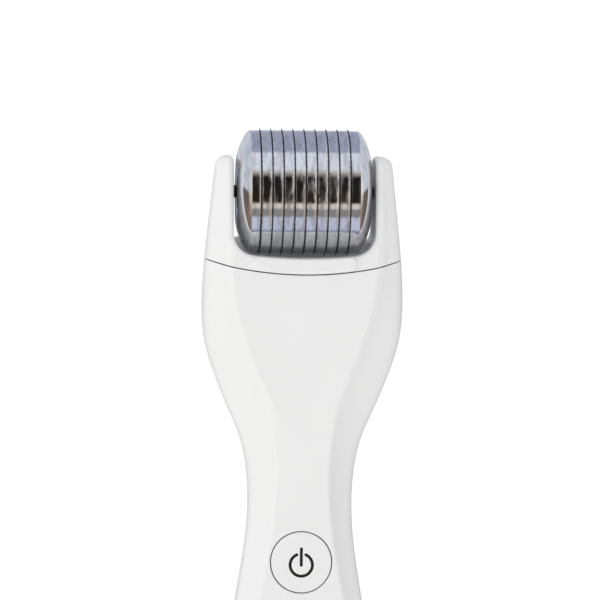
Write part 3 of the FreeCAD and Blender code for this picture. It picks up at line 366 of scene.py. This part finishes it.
ring_chrome = chrome("polished_chromium_plate", 0.0015 * MM, 0.05 * MM, 0.24)
ring_low, ring_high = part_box("spacer_ring_1")
ring_radius = ring_high.z - axle_centre.z
half_ring = (ring_high.x - ring_low.x) / 2
crown = [(-half_ring, CORE_RADIUS), (-half_ring, ring_radius - RING_DROP - RING_CORNER)]
for step in range(-CROWN_STEPS, CROWN_STEPS + 1):
    share = step / CROWN_STEPS
    crown.append(((half_ring - RING_CORNER) * share, ring_radius - RING_DROP * abs(share) ** CROWN_POWER))
crown += [(half_ring, ring_radius - RING_DROP - RING_CORNER), (half_ring, CORE_RADIUS)]
ring = lathe("ring", crown, RING_STEPS)
ring.data.materials.append(ring_chrome)
for number in range(1, 9):
    low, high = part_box(f"spacer_ring_{number}")
    spacer = copy_of(ring, f"polished_ring_{number}", Matrix.Translation(((low.x + high.x) / 2, 0, 0)))
    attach(spacer, "roller")
    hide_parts(f"spacer_ring_{number}")
bpy.data.objects.remove(ring)


# ---- end caps -----------------------------------------------------------------------------------------
# A turned cap closes each end of the roller: a straight band, a crisp edge, and a rounded bevel down to a
# flat end with a shallow turned step round the bush. It is plated like the rings, and less handled.
BAND_RADIUS = 12.2 * MM
BAND_END = 10.75 * MM
CAP_END, CAP_END_RADIUS = 13.35 * MM, 7.0 * MM
BUSH_RADIUS = 2.4 * MM
BEVEL_PULL = (12.25 * MM, 11.6 * MM)      # the point that the rounded bevel is drawn towards
BEVEL_STEPS = 12
HUB_START, HUB_RADIUS = 10.2 * MM, 4.0 * MM
RECESS_END, RECESS_RADIUS = 12.25 * MM, 5.2 * MM
CORE_END, CORE_BORE = 10.4 * MM, 6.5 * MM
STEP_OUTER, STEP_INNER, STEP_DEPTH = 6.6 * MM, 3.3 * MM, 0.12 * MM
STEP_SLOPE = 0.1 * MM
cap_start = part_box("end_cap_right")[0].x
band_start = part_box("needle_disc_9")[1].x
cap_chrome = chrome("plated_end_cap", 0.001 * MM, 0.004 * MM, 0.14)

profile = [(HUB_START, BUSH_RADIUS), (HUB_START, HUB_RADIUS), (RECESS_END, HUB_RADIUS),
           (RECESS_END, RECESS_RADIUS), (cap_start, RECESS_RADIUS), (cap_start, CORE_BORE),
           (CORE_END, CORE_BORE), (CORE_END, CORE_RADIUS),
           (band_start, CORE_RADIUS), (band_start, BAND_RADIUS - 0.15 * MM),
           (band_start + 0.12 * MM, BAND_RADIUS - 0.02 * MM), (band_start + 0.3 * MM, BAND_RADIUS),
           (BAND_END - 0.2 * MM, BAND_RADIUS), (BAND_END - 0.06 * MM, BAND_RADIUS - 0.01 * MM)]
for step in range(BEVEL_STEPS + 1):
    t = step / BEVEL_STEPS
    weights = ((1 - t) ** 2, 2 * t * (1 - t), t * t)
    profile.append(tuple(sum(w * p for w, p in zip(weights, along)) for along in
                         ((BAND_END, BEVEL_PULL[0], CAP_END), (BAND_RADIUS, BEVEL_PULL[1], CAP_END_RADIUS))))
profile += [(CAP_END, STEP_OUTER), (CAP_END - STEP_DEPTH, STEP_OUTER - STEP_SLOPE),
            (CAP_END - STEP_DEPTH, STEP_INNER + STEP_SLOPE), (CAP_END, STEP_INNER), (CAP_END, BUSH_RADIUS)]
for side, name in ((1, "right"), (-1, "left")):
    outline = [(side * x, radius) for x, radius in profile]
    cap = lathe(f"plated_cap_{name}", outline, RING_STEPS)
    cap.data.materials.append(cap_chrome)
    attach(cap, "roller")
    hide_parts(f"end_cap_{name}")


# ---- axle, bushes and core ----------------------------------------------------------------------------
# The axle is a drawn stainless steel pin held in both arms. The roller runs on it in two acetal bushes, and
# the discs and rings sit on a core of plain grey ABS.
clothe(finish("drawn_stainless_steel", ("5E5A56", "8C8883"), 0.3 * MM, (0.25, 0.4), 0.003 * MM,
              stretch=(0.1, 1, 1), metallic=1.0), "axle")
clothe(finish("black_acetal", ("1B1917", "26231F"), 0.5 * MM, (0.35, 0.45), 0.004 * MM, ior=1.48),
       "axle_bush_left", "axle_bush_right")
clothe(finish("grey_moulded_abs", ("8E8E92", "A4A4A8"), 1.2 * MM, (0.5, 0.62), 0.01 * MM, ior=1.54),
       "roller_core", "socket_collar")


# ---- springs, screws and charging socket --------------------------------------------------------------
# Two leaf springs of bright steel strip hold the head in the collar. Zinc-plated screws hold the board, and
# the drawn, nickel-plated shell of the charging socket shows in the base's slot.
clothe(finish("rolled_spring_steel", ("8A8A8C", "B2B2B4"), 0.5 * MM, (0.2, 0.34), 0.003 * MM,
              stretch=(1, 1, 0.1), metallic=1.0), "retaining_springs")
clothe(finish("zinc_plated_steel", ("9FA09A", "C9C8BC"), 0.25 * MM, (0.24, 0.42), 0.004 * MM, metallic=1.0),
       "board_screws")
clothe(finish("nickel_plated_shell", ("A5A4A0", "CAC9C6"), 0.4 * MM, (0.16, 0.3), 0.002 * MM,
              stretch=(1, 1, 0.15), metallic=1.0), "usb_socket")


# ---- battery, motor and their leads -------------------------------------------------------------------
# The cell wears a shrunk blue PVC sleeve. The motor is a small can of nickel-plated steel in a rubber boot,
# with a sintered brass weight on its shaft. The leads are stranded wire in soft PVC.
clothe(finish("shrunk_blue_pvc", ("1F4E8A", "2C66A8"), 2.5 * MM, (0.24, 0.36), 0.02 * MM, stretch=(1, 1, 0.3),
              ior=1.53), "battery_cell")
clothe(finish("plated_motor_steel", ("8F9092", "B4B5B8"), 0.5 * MM, (0.2, 0.34), 0.003 * MM,
              stretch=(1, 1, 0.1), metallic=1.0), "motor_can", "motor_shaft")
clothe(finish("moulded_rubber", ("121213", "1E1E1F"), 0.35 * MM, (0.7, 0.85), 0.02 * MM, ior=1.52),
       "motor_boot")
clothe(finish("sintered_brass", ("8A6A34", "B8935A"), 0.2 * MM, (0.34, 0.52), 0.01 * MM, metallic=1.0),
       "eccentric_weight")
clothe(finish("red_pvc_insulation", ("8C1410", "A81F18"), 0.6 * MM, (0.35, 0.5), 0.006 * MM, ior=1.53),
       "charging_leads", "battery_leads")
clothe(finish("black_pvc_insulation", ("141414", "222222"), 0.6 * MM, (0.35, 0.5), 0.006 * MM, ior=1.53),
       "motor_leads")


# ---- circuit boards and switch ------------------------------------------------------------------------
# The boards are glass-epoxy laminate under a green solder mask, through which the weave and the copper
# tracks just show. The chips and the switch are moulded in black epoxy and nylon.
solder_mask, tree, shader = new_material("green_solder_mask")
TRACK_SPACING, TRACK_RELIEF = 2.6 * MM, 0.03 * MM
place = add(tree, "TexCoord").outputs["Object"]
upright = add(tree, "Mapping", {"Vector": place, "Rotation": (math.pi / 2, 0, 0)})
tracks = add(tree, "TexBrick", {"Vector": upright.outputs[0], "Color1": linear("0E5A30"),
                                "Color2": linear("137040"), "Mortar": linear("0A4424"),
                                "Scale": 1 / TRACK_SPACING, "Mortar Size": 0.06})
raised = add(tree, "Bump", {"Height": tracks.outputs["Fac"], "Strength": 0.4, "Distance": TRACK_RELIEF})
tree.links.new(tracks.outputs["Color"], shader.inputs["Base Color"])
tree.links.new(raised.outputs[0], shader.inputs["Normal"])
shader.inputs["Roughness"].default_value = 0.32
clothe(solder_mask, "main_board", "charging_board")
clothe(finish("black_moulding_compound", ("151516", "222224"), 0.2 * MM, (0.5, 0.65), 0.006 * MM),
       "board_chips", "switch_housing")
clothe(finish("red_nylon", ("8A2318", "A0301F"), 0.5 * MM, (0.4, 0.5), 0.004 * MM), "switch_plunger")
clothe(finish("translucent_silicone", ("BDBDB9", "CCCCC8"), 0.8 * MM, (0.55, 0.7), 0.006 * MM, ior=1.41),
       "button_return_pad")
